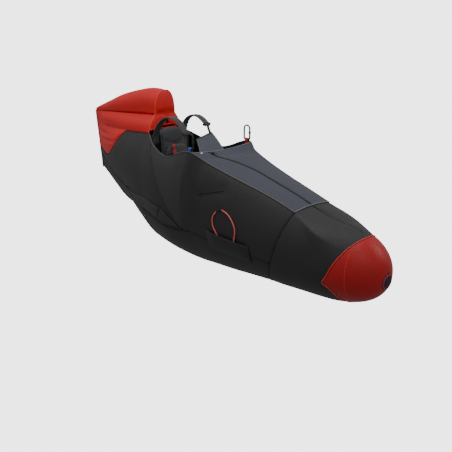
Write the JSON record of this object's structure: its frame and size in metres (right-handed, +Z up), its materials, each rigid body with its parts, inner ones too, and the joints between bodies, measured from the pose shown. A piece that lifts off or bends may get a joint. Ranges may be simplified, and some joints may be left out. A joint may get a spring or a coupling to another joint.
{
  "type": "paragliding pod harness",
  "caption": "Reclined paragliding pod harness: streamlined cocoon with zipped leg cover, inflated tail fairing, shoulder straps, karabiners on hang loops and reserve handle.",
  "frame": {"origin": "midway between the two hang loops, on the line where the karabiners bear on them", "axes": "+X towards the nose, +Y to the pilot's left, +Z up"},
  "size_m": [2.216, 0.5298, 0.9506],
  "materials": {
    "black_anodised": "black anodised",
    "black_fabric": "padded laminate, matt",
    "carbon": "carbon laminate, satin",
    "foam": "closed-cell foam",
    "grey_lycra": "stretch cloth, matt",
    "net": "woven net",
    "padding": "padded mesh cloth",
    "plastic": "moulded",
    "red_nylon": "coated ripstop, satin",
    "red_plastic": "moulded",
    "steel": "satin",
    "webbing_black": "woven webbing",
    "webbing_blue": "woven webbing",
    "webbing_red": "woven webbing",
    "zip": "coil zip"
  },
  "bodies": {
    "harness": {"backrest": "padding", "belly": "black_fabric", "belly_flap": "grey_lycra", "buckle_housing": "plastic", "chest_webbing_left": "webbing_black", "chest_webbing_right": "webbing_black", "fairing_collar_left": "red_nylon", "fairing_collar_right": "red_nylon", "fairing_crown": "red_nylon", "fairing_front": "red_nylon", "footplate": "carbon", "hang_loop_left": "webbing_red", "hang_loop_right": "webbing_blue", "intake_net": "net", "intake_ring": "plastic", "leg_cover_left": "grey_lycra", "leg_cover_right": "grey_lycra", "leg_strap": "webbing_black", "lumbar_pad": "padding", "main_riser_left": "webbing_black", "main_riser_right": "webbing_black", "nose_cap": "red_nylon", "nose_section": "black_fabric", "pod_side_left": "black_fabric", "pod_side_right": "black_fabric", "protector_foam": "foam", "pulley_block_left": "black_anodised", "pulley_block_right": "black_anodised", "rear_bulkhead": "black_fabric", "reserve_bag": "padding", "reserve_flap": "black_fabric", "seat_plate": "carbon", "shoulder_strap_left": "padding", "shoulder_strap_right": "padding", "side_pocket_zip": "zip", "speed_line_left": "webbing_black", "speed_line_right": "webbing_black", "strap_adjuster_left": "plastic", "strap_adjuster_right": "plastic", "tail_edge_binding": "black_fabric", "tail_flank_left": "black_fabric", "tail_flank_right": "black_fabric", "zip_chain": "zip"},
    "right_karabiner": {"karabiner_right": "black_anodised"},
    "right_gate": {"gate_right": "black_anodised"},
    "right_sleeve": {"lock_sleeve_right": "black_anodised"},
    "right_pulley": {"pulley_right": "plastic"},
    "right_button": {"buckle_button_right": "red_plastic"},
    "left_karabiner": {"karabiner_left": "black_anodised"},
    "left_gate": {"gate_left": "black_anodised"},
    "left_sleeve": {"lock_sleeve_left": "black_anodised"},
    "left_pulley": {"pulley_left": "plastic"},
    "left_button": {"buckle_button_left": "red_plastic"},
    "zip_slider": {"zip_slider": "steel"},
    "zip_pull": {"zip_pull": "steel"},
    "pocket_slider": {"side_pocket_slider": "steel"},
    "reserve_handle": {"reserve_handle": "webbing_red"},
    "speed_bar": {"speed_bar": "carbon"},
    "buckle_tongue": {"buckle_tongue": "steel", "buckle_tape": "webbing_red"}
  },
  "joints": [
    {"name": "right_karabiner_swing", "type": "hinge", "parent": "harness", "child": "right_karabiner", "pos_m": [0, -0.225, 0], "axis": [1, 0, 0], "range_deg": [-40, 40]},
    {"name": "right_gate_hinge", "type": "hinge", "parent": "right_karabiner", "child": "right_gate", "pos_m": [0.021, -0.225, 0.0215], "axis": [0, -1, 0], "range_deg": [0, 28], "stiffness_Nm_per_rad": 0.1, "springref_deg": -17.19},
    {"name": "right_sleeve_twist", "type": "hinge", "parent": "right_gate", "child": "right_sleeve", "pos_m": [0.021, -0.225, 0.0322], "axis": [0, 0, 1], "range_deg": [0, 90], "stiffness_Nm_per_rad": 0.004, "springref_deg": -17.19},
    {"name": "right_pulley_spin", "type": "hinge", "parent": "harness", "child": "right_pulley", "pos_m": [-0.004, -0.17142, -0.36], "axis": [0, 1, 0], "range_deg": [-20, 1220]},
    {"name": "right_button_press", "type": "slide", "parent": "harness", "child": "right_button", "axis": [0, 1, 0], "range_m": [0, 0.0025], "stiffness_N_per_m": 150, "springref_m": -0.002},
    {"name": "left_karabiner_swing", "type": "hinge", "parent": "harness", "child": "left_karabiner", "pos_m": [0, 0.225, 0], "axis": [1, 0, 0], "range_deg": [-40, 40]},
    {"name": "left_gate_hinge", "type": "hinge", "parent": "left_karabiner", "child": "left_gate", "pos_m": [0.021, 0.225, 0.0215], "axis": [0, -1, 0], "range_deg": [0, 28], "stiffness_Nm_per_rad": 0.1, "springref_deg": -17.19},
    {"name": "left_sleeve_twist", "type": "hinge", "parent": "left_gate", "child": "left_sleeve", "pos_m": [0.021, 0.225, 0.0322], "axis": [0, 0, 1], "range_deg": [0, 90], "stiffness_Nm_per_rad": 0.004, "springref_deg": -17.19},
    {"name": "left_pulley_spin", "type": "hinge", "parent": "harness", "child": "left_pulley", "pos_m": [-0.004, 0.17142, -0.36], "axis": [0, 1, 0], "range_deg": [-20, 1220]},
    {"name": "left_button_press", "type": "slide", "parent": "harness", "child": "left_button", "axis": [0, -1, 0], "range_m": [0, 0.0025], "stiffness_N_per_m": 150, "springref_m": -0.002},
    {"name": "zip_slide", "type": "slide", "parent": "harness", "child": "zip_slider", "axis": [0.8543, 0.4419, -0.2737], "range_m": [0, 0.09]},
    {"name": "zip_pull_lift", "type": "hinge", "parent": "zip_slider", "child": "zip_pull", "pos_m": [0.04644, -0.10091, -0.02791], "axis": [0.4594, -0.8882, 0], "range_deg": [0, 140]},
    {"name": "pocket_slide", "type": "slide", "parent": "harness", "child": "pocket_slider", "axis": [0.9514, 0.2137, 0.2219], "range_m": [0, 0.13]},
    {"name": "reserve_handle_pull", "type": "slide", "parent": "harness", "child": "reserve_handle", "axis": [0, -0.2599, 0.9656], "range_m": [0, 0.12]},
    {"name": "speed_bar_push", "type": "slide", "parent": "harness", "child": "speed_bar", "axis": [1, 0, 0], "range_m": [0, 0.22], "deforming": ["speed_line_right", "speed_line_left"]},
    {"name": "tongue_release", "type": "slide", "parent": "harness", "child": "buckle_tongue", "axis": [-0.2887, 0, 0.9574], "range_m": [0, 0.05]}
  ],
  "couplings": [
    {"joint": "right_pulley_spin", "follows": "speed_bar_push", "rad_per_m": 90.909},
    {"joint": "left_pulley_spin", "follows": "speed_bar_push", "rad_per_m": 90.909}
  ]
}
